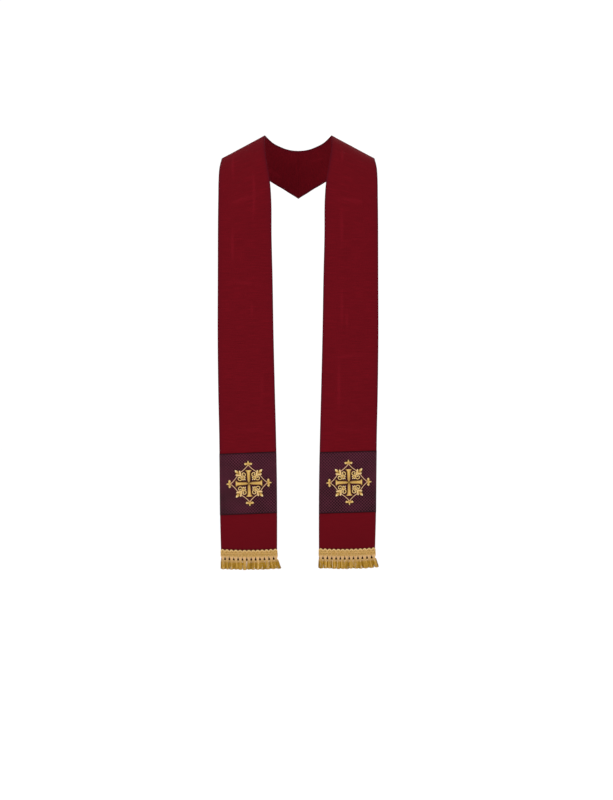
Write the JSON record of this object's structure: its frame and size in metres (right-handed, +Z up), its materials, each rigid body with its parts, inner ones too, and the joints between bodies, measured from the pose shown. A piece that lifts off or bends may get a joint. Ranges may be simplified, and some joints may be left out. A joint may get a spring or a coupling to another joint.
{
  "type": "clerical stole",
  "caption": "Long vestment stole worn round the neck with both ends down the front, each with a brocade band, an embroidered cross in scrollwork and a tasselled fringe.",
  "frame": {"origin": "middle of the neck opening, level with the two points where the stole crosses the shoulders beside the neck", "axes": "+Z up, the front faces -Y, +X towards the wearer's left"},
  "size_m": [0.4039, 0.2223, 1.1026],
  "materials": {
    "burgundy_cloth": "matt slubbed dupion",
    "aubergine_brocade": "low-sheen figured brocade",
    "gold_embroidery": "glossy satin-stitch thread",
    "gold_fringe": "soft rayon gimp and cut threads"
  },
  "bodies": {
    "root": {"stole_left": "burgundy_cloth", "stole_right": "burgundy_cloth", "band_left": "aubergine_brocade", "band_right": "aubergine_brocade", "cross_left": "gold_embroidery", "cross_right": "gold_embroidery", "scrollwork_left": "gold_embroidery", "scrollwork_right": "gold_embroidery", "fringe_left": "gold_fringe", "fringe_right": "gold_fringe"}
  },
  "joints": []
}
